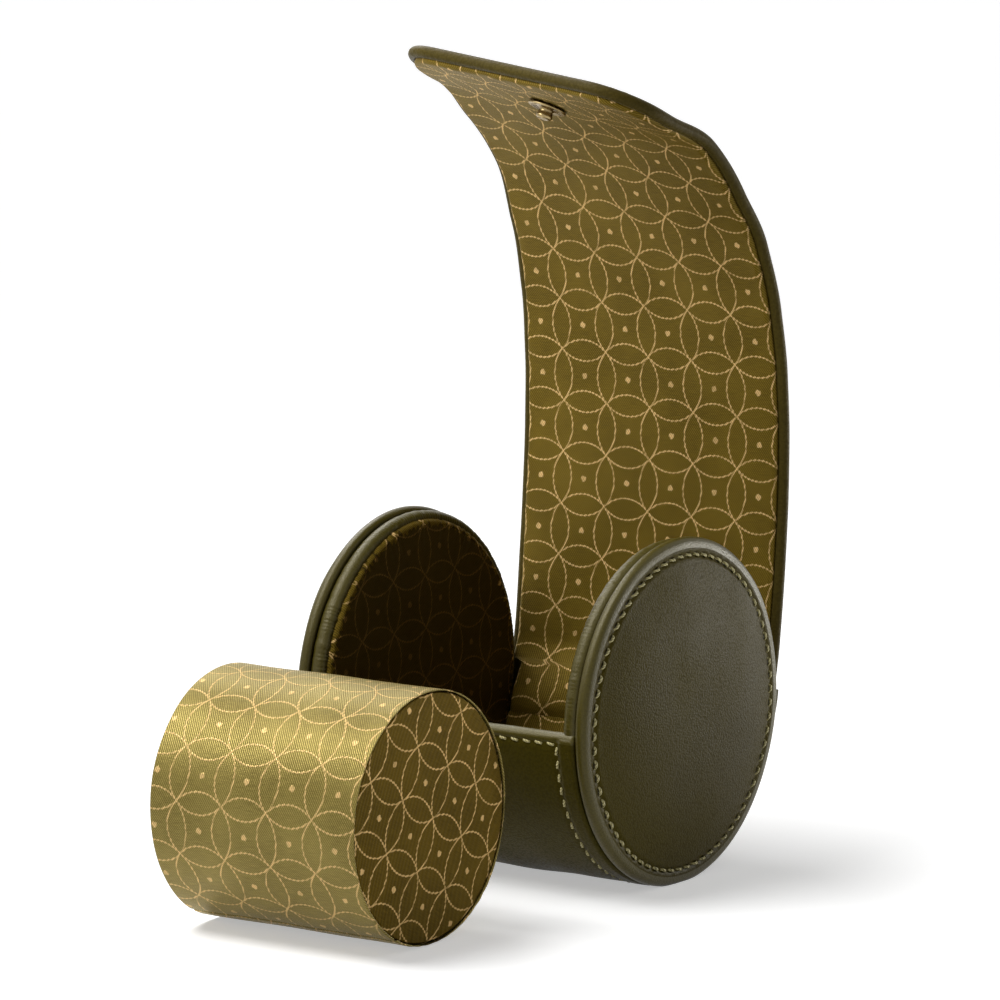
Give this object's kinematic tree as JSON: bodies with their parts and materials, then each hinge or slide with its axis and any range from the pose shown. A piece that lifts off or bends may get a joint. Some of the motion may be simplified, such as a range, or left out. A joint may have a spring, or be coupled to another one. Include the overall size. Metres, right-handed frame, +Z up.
{
  "type": "watch roll",
  "caption": "Round travel roll for a wristwatch: padded case with stitched end caps, long padded flap that wraps over and snaps at the front, and a loose pillow that carries the watch",
  "frame": {"origin": "on the table under the middle of the case's axis", "axes": "+X along the case's axis to its right end cap, -Y to the front, where the pillow stands, +Z up"},
  "size_m": [0.0832, 0.1699, 0.194],
  "materials": {
    "olive_leather": "dark olive leather with a fine pebble grain, satin sheen",
    "satin_lining": "olive satin twill with a fine pale gold pattern",
    "padding": "unseen cream foam padding",
    "board": "unseen grey-brown stiffening board",
    "snap_metal": "dark bronze plated brass, polished"
  },
  "bodies": {
    "case": {"right_cap_board": "board", "left_cap_board": "board", "right_cap_foam": "padding", "left_cap_foam": "padding", "right_ring_core": "padding", "left_ring_core": "padding", "right_ring_leather": "olive_leather", "left_ring_leather": "olive_leather", "right_pad_foam": "padding", "left_pad_foam": "padding", "right_pad_cloth": "satin_lining", "left_pad_cloth": "satin_lining", "right_cap_leather": "olive_leather", "left_cap_leather": "olive_leather", "trough_leather": "olive_leather", "trough_board": "board", "trough_lining": "satin_lining", "front_bead": "olive_leather", "flap_wedge": "olive_leather", "snap_socket": "snap_metal", "socket_plate": "snap_metal"},
    "flap_panel_1": {"flap_leather_1": "olive_leather", "flap_lining_1": "satin_lining"},
    "flap_panel_2": {"flap_leather_2": "olive_leather", "flap_lining_2": "satin_lining"},
    "flap_panel_3": {"flap_leather_3": "olive_leather", "flap_lining_3": "satin_lining"},
    "flap_panel_4": {"flap_leather_4": "olive_leather", "flap_lining_4": "satin_lining"},
    "flap_panel_5": {"flap_leather_5": "olive_leather", "flap_lining_5": "satin_lining"},
    "flap_panel_6": {"flap_leather_6": "olive_leather", "flap_lining_6": "satin_lining"},
    "flap_panel_7": {"flap_leather_7": "olive_leather", "flap_lining_7": "satin_lining"},
    "flap_panel_8": {"flap_leather_8": "olive_leather", "flap_lining_8": "satin_lining"},
    "flap_panel_9": {"flap_leather_9": "olive_leather", "flap_lining_9": "satin_lining"},
    "flap_panel_10": {"flap_leather_10": "olive_leather", "flap_lining_10": "satin_lining", "snap_stud": "snap_metal", "stud_anchor": "snap_metal"},
    "pillow": {"pillow_sleeve": "satin_lining", "pillow_core": "padding", "pillow_right_board": "board", "pillow_right_end": "satin_lining", "pillow_left_board": "board", "pillow_left_end": "satin_lining"}
  },
  "joints": [
    {"name": "flap_wrap", "type": "hinge", "parent": "case", "child": "flap_panel_1", "pos_m": [0, 0.042, 0.0404], "axis": [1, 0, 0], "range_deg": [-4, 18.27]},
    {"name": "flap_tighten", "type": "hinge", "parent": "flap_panel_1", "child": "flap_panel_2", "pos_m": [0, 0.04401, 0.05655], "axis": [0.9999, 0.0012, -0.0147], "range_deg": [0, 21.1]},
    {"name": "flap_bend_2", "type": "hinge", "parent": "flap_panel_2", "child": "flap_panel_3", "pos_m": [0, 0.04567, 0.07274], "axis": [1, 0.0051, 0.0015], "range_deg": [-4.47, 20.41]},
    {"name": "flap_bend_3", "type": "hinge", "parent": "flap_panel_3", "child": "flap_panel_4", "pos_m": [0, 0.04677, 0.08898], "axis": [0.9998, 0.0015, 0.0199], "range_deg": [-4.2, 19.16]},
    {"name": "flap_bend_4", "type": "hinge", "parent": "flap_panel_4", "child": "flap_panel_5", "pos_m": [0.00001, 0.04697, 0.10526], "axis": [0.9991, -0.012, 0.0418], "range_deg": [-3.78, 17.22]},
    {"name": "flap_bend_5", "type": "hinge", "parent": "flap_panel_5", "child": "flap_panel_6", "pos_m": [0.00001, 0.04571, 0.12148], "axis": [0.9968, -0.0401, 0.0693], "range_deg": [-3.22, 14.65]},
    {"name": "flap_bend_6", "type": "hinge", "parent": "flap_panel_6", "child": "flap_panel_7", "pos_m": [-0.00002, 0.04227, 0.13739], "axis": [0.9904, -0.0926, 0.1024], "range_deg": [-2.59, 11.79]},
    {"name": "flap_bend_7", "type": "hinge", "parent": "flap_panel_7", "child": "flap_panel_8", "pos_m": [-0.00015, 0.03595, 0.15239], "axis": [0.9441, -0.2507, 0.2143], "range_deg": [-2.1, 9.54]},
    {"name": "snap_press", "type": "hinge", "parent": "flap_panel_8", "child": "flap_panel_9", "pos_m": [-0.00049, 0.02637, 0.16554], "axis": [0.9942, -0.0974, -0.0447], "range_deg": [0, 7.5]},
    {"name": "flap_bend_9", "type": "hinge", "parent": "flap_panel_9", "child": "flap_panel_10", "pos_m": [-0.00127, 0.01376, 0.17581], "axis": [0.8623, -0.494, 0.1118], "range_deg": [-1.81, 8.23]},
    {"name": "pillow_swing", "type": "hinge", "parent": "case", "child": "pillow", "pos_m": [0.0017, -0.0439, 0.03083], "axis": [-1, 0, 0], "range_deg": [0, 180]}
  ],
  "couplings": [
    {"joint": "flap_bend_2", "follows": "flap_wrap", "ratio": 1.1162},
    {"joint": "flap_bend_3", "follows": "flap_wrap", "ratio": 1.0478},
    {"joint": "flap_bend_4", "follows": "flap_wrap", "ratio": 0.94204},
    {"joint": "flap_bend_5", "follows": "flap_wrap", "ratio": 0.80137},
    {"joint": "flap_bend_6", "follows": "flap_wrap", "ratio": 0.64481},
    {"joint": "flap_bend_7", "follows": "flap_wrap", "ratio": 0.52159},
    {"joint": "flap_bend_9", "follows": "flap_wrap", "ratio": 0.44975}
  ]
}
